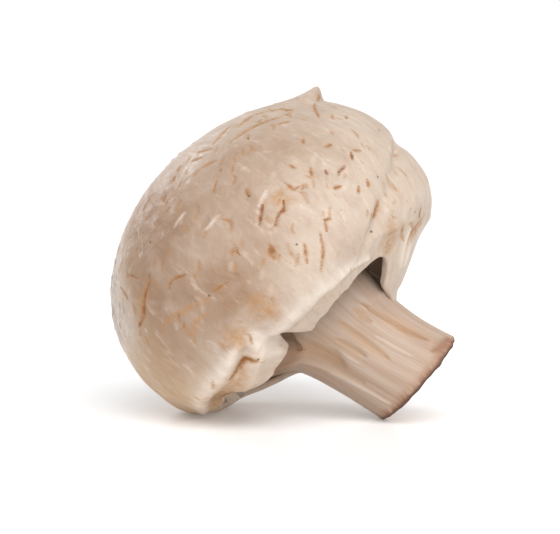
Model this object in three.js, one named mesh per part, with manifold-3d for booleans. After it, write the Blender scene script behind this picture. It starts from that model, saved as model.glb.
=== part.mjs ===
// A button mushroom lying on its side. It rests on the lower edge of its cap and the lower corner of its cut stem.
// Millimetres, +Z up. The stem points along +X and down, and the torn side of the veil faces -Y. The origin is
// the middle of the bounding box's bottom.
import * as THREE from "three";
import { mergeVertices } from "three/addons/utils/BufferGeometryUtils.js";
import Module from "manifold-3d";

const wasm = await Module();
wasm.setup();

const { lerp, clamp, smoothstep, euclideanModulo, degToRad, radToDeg } = THREE.MathUtils;

// Driving dimensions. A height is measured along the cap's axis from its widest plane, and grows towards the cut
// end. An azimuth turns about that axis, in degrees: 0 comes to lie on top, 90 faces +Y and -90 faces -Y.
const capRadius = 25.9;
const capNarrowing = 0.95; // the cap is a little oval, narrower from front to back
const domeHeight = 20.9;
const lipRadius = 21.2; // where the cap's rolled edge passes into the veil
const lipHeight = 10.9;
const rimLean = 1.2; // how much deeper the edge hangs on the upper side than on the lower
const leanStart = 2; // the height where the lean and the lobes of the edge set in
const veilHeight = 15.1; // the veil's inner edge, close round the stem
const veilThickness = 1.1;
const wallThickness = 4.4; // the flesh round the gill chamber
const roofHeight = -1.2; // the flesh above the gills
const stemRadius = 7.57;
const closedVeil = stemRadius + 1.0; // the veil's inner radius where it is whole
const socketRadius = stemRadius + 0.3; // the cap's hollow that takes the stem's top
const stemTop = -6.0; // where the stem joins the cap's flesh
const cutHeight = 27.35; // the cut end, square to the cap's axis
const stemBend = 2.65; // how far the cut end leans towards the upper side
const bendStart = 9.0;
const jointGap = 0.3; // between two pieces that touch

const tear = { from: -128, to: -12, softness: 9, radius: 16.4 }; // the torn stretch of the veil
const lobes = [
  { azimuth: -119, width: 11, hang: 1.9 }, // the lobe of the edge at the lower end of the tear
  { azimuth: -97, width: 5, hang: -1.4 }, // the notch next to it
  { azimuth: -40, width: 20, hang: -1.3 },
  { azimuth: 175, width: 24, hang: -0.5 },
];
const gills = {
  count: 36,
  edgeHeight: 7.6,
  outerRise: 1.6, // how much shorter the blades are at the cap's wall
  webThickness: 0.9,
  bladeShare: 0.5,
  innerRadius: 8.6,
  outerRadius: 19.0,
};
const tip = { azimuth: 6, polar: 50, length: 4.2, radius: 1.9, sweep: 1.7, sunk: 3 }; // a raised curl of skin

const tilt = degToRad(42.3); // the axis's slope when the mushroom lies at rest
const restDepth = 0.35; // how far the soft cap flattens where it rests

// Gentle unevenness: a share of the radius, waves round the axis, and a phase that turns along the height.
const capLumps = [
  { share: 0.010, waves: 3, phase: 0.6, twist: 1.3 },
  { share: 0.007, waves: 5, phase: -1.1, twist: -2.0 },
  { share: 0.006, waves: 2, phase: 2.2, twist: 3.1 },
];
const stemLumps = [
  { share: 0.018, waves: 2, phase: 0.5, twist: 0 },
  { share: 0.014, waves: 5, phase: 1.9, twist: 0 },
];

const capSegments = 66;
const stemSegments = 36;
const tipSegments = 14;
const domeSteps = 14;
const veilSteps = 5;

const skin = new THREE.MeshStandardMaterial({ color: 0xe3d2bf, roughness: 0.72, metalness: 0 });
const stemSkin = new THREE.MeshStandardMaterial({ color: 0xcdb49c, roughness: 0.78, metalness: 0 });
const gillFlesh = new THREE.MeshStandardMaterial({ color: 0x8c6a52, roughness: 0.85, metalness: 0 });

// Local frame: x along azimuth 0, y along the axis towards the cut end, z along azimuth 90.
function reshape(geometry, move) {
  const positions = geometry.getAttribute("position");
  const point = new THREE.Vector3();
  for (let i = 0; i < positions.count; i += 1) {
    point.fromBufferAttribute(positions, i);
    move(point, Math.hypot(point.x, point.z), Math.atan2(point.z, point.x));
    positions.setXYZ(i, point.x, point.y, point.z);
  }
  return geometry;
}

function setRadius(point, radius, angle) {
  point.x = radius * Math.cos(angle);
  point.z = radius * Math.sin(angle);
}

function lumpiness(lumps, angle, height) {
  const along = height / domeHeight;
  return lumps.reduce((sum, lump) => {
    return sum + lump.share * Math.cos(lump.waves * angle + lump.phase + lump.twist * along);
  }, 0);
}

// 1 inside the torn stretch of the veil and 0 outside it.
function tornShare(angle) {
  const azimuth = radToDeg(angle);
  const rise = smoothstep(azimuth, tear.from - tear.softness, tear.from + tear.softness);
  return rise * (1 - smoothstep(azimuth, tear.to - tear.softness, tear.to + tear.softness));
}

// How much deeper the cap's edge hangs at an angle than it does on average.
function edgeHang(angle) {
  const lean = rimLean * Math.cos(angle);
  return lobes.reduce((sum, lobe) => {
    const away = euclideanModulo(radToDeg(angle) - lobe.azimuth + 180, 360) - 180;
    return sum + lobe.hang * Math.exp(-((away / lobe.width) ** 2));
  }, lean);
}

// The veil rises from the rolled edge to the stem in a shallow S.
function veilLine(radius) {
  const share = (lipRadius - radius) / (lipRadius - closedVeil);
  return lipHeight + (veilHeight - lipHeight) * (0.35 * share + 0.65 * smoothstep(share, 0, 1));
}

// The cap's outline, from the crown over the rolled edge and the veil, then back through the gill chamber.
function capProfile() {
  const points = [new THREE.Vector2(0, -domeHeight)];
  for (let i = 1; i <= domeSteps; i += 1) {
    const angle = (i / domeSteps) * (Math.PI / 2);
    points.push(new THREE.Vector2(capRadius * Math.sin(angle), -domeHeight * Math.cos(angle)));
  }
  const rolledEdge = new THREE.SplineCurve([
    new THREE.Vector2(capRadius, 0),
    new THREE.Vector2(capRadius - 0.5, 4.8),
    new THREE.Vector2(capRadius - 1.9, 8.4),
    new THREE.Vector2(lipRadius, lipHeight),
  ]);
  points.push(...rolledEdge.getPoints(7).slice(1));
  const veilRadii = [];
  for (let i = 1; i <= veilSteps; i += 1) {
    veilRadii.push(lerp(lipRadius, closedVeil, i / veilSteps));
  }
  points.push(...veilRadii.map((radius) => new THREE.Vector2(radius, veilLine(radius))));
  veilRadii.reverse();
  points.push(...veilRadii.map((radius) => new THREE.Vector2(radius, veilLine(radius) - veilThickness)));
  const chamber = new THREE.SplineCurve([
    new THREE.Vector2(lipRadius - 0.5, lipHeight - 1.9),
    new THREE.Vector2(capRadius - wallThickness, 4.8),
    new THREE.Vector2(lipRadius - 1.8, 0.9),
    new THREE.Vector2(14.5, roofHeight),
    new THREE.Vector2(closedVeil, roofHeight - 0.4),
  ]);
  points.push(...chamber.getPoints(9));
  points.push(new THREE.Vector2(socketRadius, stemTop - jointGap));
  points.push(new THREE.Vector2(0, stemTop - jointGap));
  return points;
}

// Pulls the veil back from the stem along the tear, and gives the edge its lean and lobes and the cap its lumps.
function shapeCap(point, radius, angle) {
  const height = point.y;
  const isVeil = height > lipHeight - veilThickness && radius < lipRadius - 0.1;
  let r = radius;
  let lift = 0;
  if (isVeil) {
    const edge = lerp(closedVeil, tear.radius, tornShare(angle));
    r = lipRadius - (lipRadius - radius) * ((lipRadius - edge) / (lipRadius - closedVeil));
    lift = veilLine(r) - veilLine(radius);
  }
  const outer = smoothstep(r, closedVeil, lipRadius);
  setRadius(point, r * (1 + lumpiness(capLumps, angle, height) * outer), angle);
  point.z *= 1 - (1 - capNarrowing) * outer;
  point.y = height + lift + edgeHang(angle) * smoothstep(height, leanStart, lipHeight);
}

// The gills are one ring of radial blades under the roof. Four columns of a lathe make one blade and one gap.
function gillRing() {
  const roof = new THREE.SplineCurve([
    new THREE.Vector2(gills.innerRadius, roofHeight + jointGap),
    new THREE.Vector2(14.0, roofHeight + jointGap + 0.2),
    new THREE.Vector2(17.2, 0.9 + jointGap),
    new THREE.Vector2(gills.outerRadius, 3.2),
  ]).getPoints(4);
  const columns = gills.count * 4;
  const profile = [...roof, ...roof.toReversed(), roof[0]];
  const step = (2 * Math.PI) / gills.count;
  const columnTurns = [0.02, gills.bladeShare - 0.02, gills.bladeShare, 0.98];
  const geometry = new THREE.LatheGeometry(profile, columns);
  const positions = geometry.getAttribute("position");
  for (let column = 0; column <= columns; column += 1) {
    const quarter = column % 4;
    const angle = (Math.floor(column / 4) + columnTurns[quarter]) * step;
    for (let row = 0; row < profile.length; row += 1) {
      const { x: radius, y: roofLine } = profile[row];
      const isLower = row >= roof.length && row < profile.length - 1;
      const bladeEdge = gills.edgeHeight - gills.outerRise * smoothstep(radius, 15, gills.outerRadius);
      const lower = quarter < 2 ? bladeEdge : roofLine + gills.webThickness;
      const i = column * profile.length + row;
      positions.setXYZ(i, radius * Math.sin(angle), isLower ? lower : roofLine, radius * Math.cos(angle));
    }
  }
  return geometry;
}

function stemProfile() {
  const side = new THREE.SplineCurve([
    new THREE.Vector2(stemRadius + 0.15, stemTop),
    new THREE.Vector2(stemRadius - 0.35, 3),
    new THREE.Vector2(stemRadius + 0.1, 12),
    new THREE.Vector2(stemRadius - 0.15, 20),
    new THREE.Vector2(stemRadius, cutHeight),
  ]);
  const rings = [0, 0.35, 0.7];
  return [
    ...rings.map((share) => new THREE.Vector2(stemRadius * share, stemTop)),
    ...side.getPoints(14),
    ...rings.toReversed().map((share) => new THREE.Vector2(stemRadius * share, cutHeight)),
  ];
}

// Bends the stem towards the upper side below the cap and makes its section a little uneven.
function shapeStem(point, radius, angle) {
  setRadius(point, radius * (1 + lumpiness(stemLumps, angle, 0)), angle);
  const bend = clamp((point.y - bendStart) / (cutHeight - bendStart), 0, 1);
  point.x += stemBend * bend ** 1.25;
}

// A small pointed curl of skin. It rises out of the dome beside the crown and points straight outwards. Its own
// x runs down the dome towards the cap's edge, and its y stands outwards.
function skinTip() {
  const steps = 5;
  const outline = [new THREE.Vector2(0, -tip.sunk), new THREE.Vector2(tip.radius, -tip.sunk)];
  for (let i = 0; i < steps; i += 1) {
    const rise = i / steps;
    outline.push(new THREE.Vector2(tip.radius * (1 - rise) ** 1.4 + 0.12, tip.length * rise));
  }
  outline.push(new THREE.Vector2(0, tip.length));
  const curl = reshape(new THREE.LatheGeometry(outline, tipSegments), (point) => {
    const rise = clamp(point.y / tip.length, 0, 1);
    const side = point.x;
    point.x = side * (side < 0 ? 1.6 : 0.8) + tip.sweep * rise ** 1.5;
    point.y += Math.min(side, 0) * 1.3; // the side towards the crown follows the dome down
  });
  const angle = degToRad(tip.azimuth);
  const polar = degToRad(tip.polar);
  const outwards = new THREE.Vector3(Math.cos(angle), 0, Math.sin(angle));
  const down = new THREE.Vector3(0, 1, 0);
  const across = new THREE.Vector3().crossVectors(down, outwards);
  curl.applyMatrix4(new THREE.Matrix4().makeBasis(down, outwards, across));
  const foot = outwards.multiplyScalar(capRadius * Math.sin(polar));
  curl.translate(foot.x, -domeHeight * Math.cos(polar), foot.z * capNarrowing);
  return curl;
}

function solidOf(geometry) {
  const bare = geometry.toNonIndexed();
  bare.deleteAttribute("normal");
  bare.deleteAttribute("uv");
  const merged = mergeVertices(bare, 1e-3);
  return new wasm.Manifold(
    new wasm.Mesh({
      numProp: 3,
      vertProperties: new Float32Array(merged.getAttribute("position").array),
      triVerts: new Uint32Array(merged.index.array),
    }),
  );
}

function geometryOf(solid) {
  const mesh = solid.getMesh();
  const geometry = new THREE.BufferGeometry();
  geometry.setAttribute("position", new THREE.BufferAttribute(new Float32Array(mesh.vertProperties), 3));
  geometry.setIndex(new THREE.BufferAttribute(new Uint32Array(mesh.triVerts), 1));
  geometry.computeVertexNormals();
  return geometry;
}

// The resting pose: local x becomes the upper side, local y the sloping axis and local z the back.
const upper = new THREE.Vector3(Math.sin(tilt), 0, Math.cos(tilt));
const axis = new THREE.Vector3(Math.cos(tilt), 0, -Math.sin(tilt));
const back = new THREE.Vector3(0, 1, 0);
const lying = new THREE.Matrix4().makeBasis(upper, axis, back);

function laidSolid(geometry) {
  return solidOf(geometry.applyMatrix4(lying));
}

const domeSolid = laidSolid(reshape(new THREE.LatheGeometry(capProfile(), capSegments), shapeCap));
const capSolid = domeSolid.add(laidSolid(skinTip()));
const stemSolid = laidSolid(reshape(new THREE.LatheGeometry(stemProfile(), stemSegments), shapeStem));
const gillSolid = laidSolid(gillRing());

// The floor meets the lowest part of the cap, and everything below it is pressed flat.
const capGeometry = geometryOf(capSolid);
capGeometry.computeBoundingBox();
const floorHeight = capGeometry.boundingBox.min.z + restDepth;
const floorBlock = { side: 200, depth: 20 };
const below = solidOf(
  new THREE.BoxGeometry(floorBlock.side, floorBlock.side, floorBlock.depth)
    .translate(0, 0, floorHeight - floorBlock.depth / 2),
);

function piece(name, solid, material) {
  const mesh = new THREE.Mesh(geometryOf(solid), material);
  mesh.name = name;
  return mesh;
}

const mushroom = new THREE.Group();
mushroom.name = "mushroom";
mushroom.add(
  piece("cap", capSolid.subtract(below), skin),
  piece("stem", stemSolid.subtract(below), stemSkin),
  piece("gills", gillSolid, gillFlesh),
);

const bounds = new THREE.Box3().setFromObject(mushroom);
const middle = bounds.getCenter(new THREE.Vector3());
mushroom.position.set(-middle.x, -middle.y, -bounds.min.z);

export default mushroom;
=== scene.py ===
import math

import bpy
import numpy as np
from mathutils import Matrix, Vector, noise


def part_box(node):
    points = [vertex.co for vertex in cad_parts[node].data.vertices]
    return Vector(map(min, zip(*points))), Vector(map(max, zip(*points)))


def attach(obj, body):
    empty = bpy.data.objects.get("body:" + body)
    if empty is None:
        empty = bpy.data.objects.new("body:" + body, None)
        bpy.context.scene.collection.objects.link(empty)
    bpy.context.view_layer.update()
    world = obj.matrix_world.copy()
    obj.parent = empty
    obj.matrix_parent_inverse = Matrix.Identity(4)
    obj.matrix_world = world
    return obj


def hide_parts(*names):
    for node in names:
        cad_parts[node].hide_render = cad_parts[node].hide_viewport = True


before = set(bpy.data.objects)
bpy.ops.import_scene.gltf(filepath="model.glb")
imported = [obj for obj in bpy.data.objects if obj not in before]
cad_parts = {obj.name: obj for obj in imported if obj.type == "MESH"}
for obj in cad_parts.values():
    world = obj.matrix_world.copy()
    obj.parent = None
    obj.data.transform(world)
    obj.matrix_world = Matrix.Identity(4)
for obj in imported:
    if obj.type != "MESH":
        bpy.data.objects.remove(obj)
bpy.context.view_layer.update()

mm = 0.001  # the dictionaries hold millimetres and degrees, and meshes are made in metres

# A button mushroom lying on its side, on the lower edge of its cap and the lower corner of its cut stem.
# Its own frame: x towards the upper side, y along the axis to the cut end, z towards the back. An azimuth
# turns about the axis, 0 on top, 90 at the back and -90 in front. "along" is the way over the skin from
# the crown.
pose = {"tilt": 42.3, "restDepth": 0.35}


def addPiece(name, data):
    piece = bpy.data.objects.new(name, data)
    bpy.context.scene.collection.objects.link(piece)
    return piece


def smooth(value, low, high):
    share = np.clip((value - low) / (high - low), 0, 1)
    return share * share * (3 - 2 * share)


def curveThrough(points, perSpan):
    # a smooth line through a few points
    points = np.array(points, float)
    padded = np.vstack([2 * points[0] - points[1], points, 2 * points[-1] - points[-2]])
    line = []
    for i in range(len(points) - 1):
        before, start, end, after = padded[i:i + 4]
        square = 2 * before - 5 * start + 4 * end - after
        cube = 3 * start - before - 3 * end + after
        for t in np.arange(perSpan) / perSpan:
            line.append(0.5 * (2 * start + (end - before) * t + square * t**2 + cube * t**3))
    return np.array(line + [points[-1]])


def roughness(points, size, seed, stretch=(1, 1, 1)):
    # soft seeded noise from -1 to 1, with bumps about "size" across
    scaled = points * np.array(stretch) / size + seed * 17.3
    flat = scaled.reshape(-1, 3)
    return np.array([noise.noise(Vector(p)) for p in flat]).reshape(points.shape[:-1])


def wrapDegrees(azimuth):
    return (azimuth + 180) % 360 - 180


def polar(radius, azimuth, height):
    turn = np.radians(azimuth)
    return np.stack([radius * np.cos(turn), height + 0 * turn, radius * np.sin(turn)], -1)


def grainPlace(azimuth, along, radius):
    # where the fibres run: round the axis in the first two numbers, along the surface in the third
    turn = np.radians(azimuth)
    return np.stack([radius * np.cos(turn), radius * np.sin(turn), along], -1)


def surfaceNormals(grid):
    # outward normals of a grid of rings and columns, closed round the axis
    alongRings = np.gradient(grid, axis=0)
    around = np.roll(grid, -1, axis=1) - np.roll(grid, 1, axis=1)
    normal = np.cross(alongRings, around)
    return normal / np.maximum(np.linalg.norm(normal, axis=-1, keepdims=True), 1e-9)


def pathDistance(points, path):
    # distance from each point to the line "path", and how far along it the nearest place is, 0 to 1
    lengths = np.linalg.norm(np.diff(path, axis=0), axis=1)
    total = max(lengths.sum(), 1e-6)
    nearest = np.full(points.shape[:-1], np.inf)
    place = np.zeros(points.shape[:-1])
    done = 0.0
    for start, end, length in zip(path[:-1], path[1:], lengths):
        step = end - start
        t = np.clip(((points - start) @ step) / max(length * length, 1e-9), 0, 1)
        distance = np.linalg.norm(points - start - t[..., None] * step, axis=-1)
        closer = distance < nearest
        nearest = np.where(closer, distance, nearest)
        place = np.where(closer, (done + t * length) / total, place)
        done += length
    return nearest, place


cap = {
    "radius": 25.9, "narrowing": 0.95, "domeHeight": 20.9,
    "lipRadius": 21.2, "lipHeight": 10.9, "rimLean": 1.2, "leanStart": 2.0,
    "veilHeight": 15.1, "closedVeil": 8.57, "stemEdge": 7.3, "veilThickness": 0.95,
    "veilRunOut": 1.6, "runOutFrom": 10.5,  # the veil runs out along the stem
    # share, waves, phase, twist
    "lumps": [(0.010, 3, 0.6, 1.3), (0.007, 5, -1.1, -2.0), (0.006, 2, 2.2, 3.1)],
    "unevenness": [(0.22, 11, 1), (0.09, 4, 2), (0.03, 1.6, 3)],  # height, size, seed
    "crackDepth": 0.16, "grainRadius": 22,
    "lobes": [(-119, 11, 1.9), (-97, 5, -1.4), (-40, 20, -1.3), (175, 24, -0.5)],  # azimuth, width, hang
    # the veil's free edge: azimuth and distance from the axis, close to the stem where the veil is whole
    "tornEdge": [(-180, 13.0), (-172, 17.5), (-162, 20.3), (-148, 20.9), (-134, 20.6), (-124, 20.0),
                 (-117, 18.6), (-110, 17.0), (-104, 16.2), (-100, 15.6), (-97, 17.6), (-94, 20.2),
                 (-91, 17.8), (-86, 15.6), (-76, 15.9), (-68, 16.9), (-60, 16.6), (-50, 16.5),
                 (-40, 16.4), (-32, 16.6), (-27, 16.3), (-24.6, 15.2), (-23.9, 13.6), (-23.6, 11.9),
                 (-20, 11.0), (-15, 10.3), (-10, 9.8), (-4, 9.0), (4, 7.3), (155, 7.3), (168, 9.0),
                 (180, 13.0)],
    # how ragged that edge is: its teeth, the finer teeth on them, and deeper ones round one azimuth
    "teeth": {"radius": 8, "depth": 0.65, "size": 0.9, "fineShare": 0.2, "fineSize": 0.3,
              "more": 0.2, "at": -138, "width": 20},
    "chamber": [(20.6, 8.4), (21.5, 4.8), (19.4, 0.9), (14.5, -1.2), (8.6, -1.6)],  # radius, height
    "socket": [(7.9, -2.5), (7.9, -6.3)],  # the hollow that takes the stem's top
    "outerStep": 0.28, "frontStep": 0.62, "backStep": 3.2, "veilRings": 34, "seed": 4,
}
# a pinch of skin pulled up into a point: its place and height, its long slope and its steep far side
skinTip = {
    "azimuth": 4, "along": 23.6, "height": 2.1, "halfWidth": 11.0, "slope": 6.5, "drop": 1.9, "lean": 0.35,
}


def capOutline():
    turn = np.linspace(0, math.pi / 2, 240)
    dome = np.stack([cap["radius"] * np.sin(turn), -cap["domeHeight"] * np.cos(turn)], -1)
    roll = curveThrough([(cap["radius"], 0), (cap["radius"] - 0.5, 4.8), (cap["radius"] - 1.9, 8.4),
                         (cap["lipRadius"], cap["lipHeight"])], 20)
    radius = np.linspace(cap["lipRadius"], cap["stemEdge"], 90)
    share = (cap["lipRadius"] - radius) / (cap["lipRadius"] - cap["closedVeil"])
    rise = cap["veilHeight"] - cap["lipHeight"]
    height = cap["lipHeight"] + rise * (0.35 * share + 0.65 * smooth(share, 0, 1))
    height += cap["veilRunOut"] * smooth(-radius, -cap["runOutFrom"], -cap["stemEdge"])
    veil = np.stack([radius, height], -1)
    line = np.vstack([dome, roll[1:], veil[1:]])
    length = np.concatenate([[0], np.cumsum(np.linalg.norm(np.diff(line, axis=0), axis=1))])
    return line, length, length[len(dome) + len(roll) - 2]


outline, outlineLength, lipLength = capOutline()


def lumpiness(azimuth, height):
    turn = np.radians(azimuth)
    return sum(share * np.cos(waves * turn + phase + twist * height / cap["domeHeight"])
               for share, waves, phase, twist in cap["lumps"])


def edgeHang(azimuth):
    hang = cap["rimLean"] * np.cos(np.radians(azimuth))
    for middle, width, amount in cap["lobes"]:
        hang = hang + amount * np.exp(-(wrapDegrees(azimuth - middle) / width) ** 2)
    return hang


def shapeCap(radius, height, azimuth):
    outer = smooth(radius, cap["closedVeil"], cap["lipRadius"])
    point = polar(radius * (1 + lumpiness(azimuth, height) * outer), azimuth, height)
    point[..., 2] *= 1 - (1 - cap["narrowing"]) * outer
    point[..., 1] += edgeHang(azimuth) * smooth(height, cap["leanStart"], cap["lipHeight"])
    return point


def capPoint(azimuth, along):
    radius = np.interp(along, outlineLength, outline[:, 0])
    height = np.interp(along, outlineLength, outline[:, 1])
    return shapeCap(radius, height, azimuth)


def tornEdgeAlong(azimuth):
    nodes, teeth = np.array(cap["tornEdge"]), cap["teeth"]
    radius = np.interp(azimuth, nodes[:, 0], nodes[:, 1])
    torn = smooth(radius, 8, 14)  # none where the veil is whole
    turn = np.radians(azimuth)
    ring = np.stack([np.cos(turn), np.sin(turn), 0 * turn], -1) * teeth["radius"]
    rag = roughness(ring, teeth["size"], cap["seed"])
    rag = rag + teeth["fineShare"] * roughness(ring, teeth["fineSize"], cap["seed"] + 1)
    depth = teeth["depth"] + teeth["more"] * np.exp(-((azimuth - teeth["at"]) / teeth["width"]) ** 2)
    radius = radius + depth * rag * torn
    veil = outlineLength >= lipLength
    return np.interp(-radius, -outline[veil, 0], outlineLength[veil])


def capColumns():
    front = np.arange(-178, 36, cap["frontStep"])
    behind = np.arange(36, 182, cap["backStep"])
    return np.concatenate([front, behind[:-1]])


def capGrid():
    azimuth = capColumns()
    edge = tornEdgeAlong(azimuth)
    skinRings = np.arange(0.5, lipLength, cap["outerStep"])
    share = np.linspace(0, 1, cap["veilRings"])[1:]
    along = np.vstack([np.repeat(skinRings[:, None], len(azimuth), 1),
                       lipLength + share[:, None] * (edge - lipLength)])
    return np.repeat(azimuth[None], len(along), 0), along


def meshFromRings(name, rings, startPole=None, endPole=None, values=None):
    # one closed mesh from rings of points; values holds one set of numbers, by ring and column, per attribute
    count = len(rings[0])
    points = [p for ring in rings for p in ring]
    faces = []
    for i in range(len(rings) - 1):
        a, b = i * count, (i + 1) * count
        for j in range(count):
            k = (j + 1) % count
            faces.append((a + j, b + j, b + k, a + k))
    if startPole is not None:
        points.append(startPole)
        faces += [(len(points) - 1, j, (j + 1) % count) for j in range(count)]
    if endPole is not None:
        points.append(endPole)
        last = (len(rings) - 1) * count
        faces += [(len(points) - 1, last + (j + 1) % count, last + j) for j in range(count)]
    mesh = bpy.data.meshes.new(name)
    mesh.from_pydata(toWorld(np.array(points)).tolist(), [], faces)
    mesh.shade_smooth()
    for label, data in (values or {}).items():
        data = np.asarray(data, np.float32)
        kind = "FLOAT_VECTOR" if data.ndim == 3 else "FLOAT"
        flat = data.reshape(-1, 3) if data.ndim == 3 else data.reshape(-1, 1)
        extra = [flat[0]] if startPole is not None else []
        extra += [flat[-1]] if endPole is not None else []
        flat = np.vstack([flat] + extra)
        attribute = mesh.attributes.new(label, kind, "POINT")
        attribute.data.foreach_set("vector" if data.ndim == 3 else "value", flat.ravel())
    return addPiece(name, mesh)


tilt = math.radians(pose["tilt"])
upper = np.array([math.sin(tilt), 0, math.cos(tilt)])
axis = np.array([math.cos(tilt), 0, -math.sin(tilt)])
back = np.array([0.0, 1.0, 0.0])


def laid(points):
    return points[..., :1] * upper + points[..., 1:2] * axis + points[..., 2:3] * back


def findMiddle():
    # the middle of the cap's widest plane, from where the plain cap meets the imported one
    azimuth = np.repeat(np.arange(-180, 180, 2.0)[None], 160, 0)
    along = np.repeat(np.linspace(0.5, lipLength, 160)[:, None], azimuth.shape[1], 1)
    plain = laid(capPoint(azimuth, along)).reshape(-1, 3)
    low, high = (np.array(corner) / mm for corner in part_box("cap"))
    middleY = (low[1] + high[1] - plain[:, 1].min() - plain[:, 1].max()) / 2
    return np.array([low[0] - plain[:, 0].min(), middleY, low[2] - plain[:, 2].min() - pose["restDepth"]])


middle = findMiddle()


def toWorld(points):
    placed = laid(points) + middle
    placed[..., 2] = np.maximum(placed[..., 2], 0)  # whatever would sink into the floor is pressed flat
    return placed * mm


# Marks of the skin. Each runs along a few (azimuth, along) places, and each kind adds to the skin's height
# and to its colours. Widths and rises are millimetres, and bruise, stain, pale and speck are shares.
markKinds = {
    "fold": {"width": 2.2, "rise": 0.3},
    "crease": {"width": 1.6, "rise": -0.55},
    "pleat": {"width": 0.8, "rise": 0.4, "pale": 1.0},
    "valley": {"width": 1.7, "rise": -0.9},
    "crest": {"width": 1.5, "rise": 0.45, "pale": 1.0},
    "sweep": {"width": 0.3, "rise": -0.2, "stain": 0.8, "bruise": 0.28},
    "slit": {"width": 0.3, "rise": -0.26, "bruise": 0.85},
    "scratch": {"width": 0.26, "rise": -0.18, "bruise": 0.52, "stain": 0.8},
    "scar": {"width": 0.6, "rise": -0.3, "bruise": 0.6, "stain": 0.9},
    "hairline": {"width": 0.2, "rise": -0.12, "stain": 0.75, "bruise": 0.25},
    "lift": {"width": 0.4, "rise": 0.13, "pale": 0.3},
    "nick": {"width": 0.3, "rise": -0.18, "bruise": 0.42, "stain": 0.6},
    "tide": {"width": 0.4, "rise": 0.06, "stain": 0.7},
    "wash": {"width": 1.9, "stain": 0.6},
    "fibre": {"width": 0.28, "rise": 0.1, "pale": 0.95},
    "blanch": {"width": 2.6, "pale": 1.0},
    "dent": {"width": 0.9, "rise": -0.25, "stain": 0.25},
    "spot": {"width": 0.3, "rise": -0.1, "speck": 1.0, "taper": 0},
}
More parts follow.
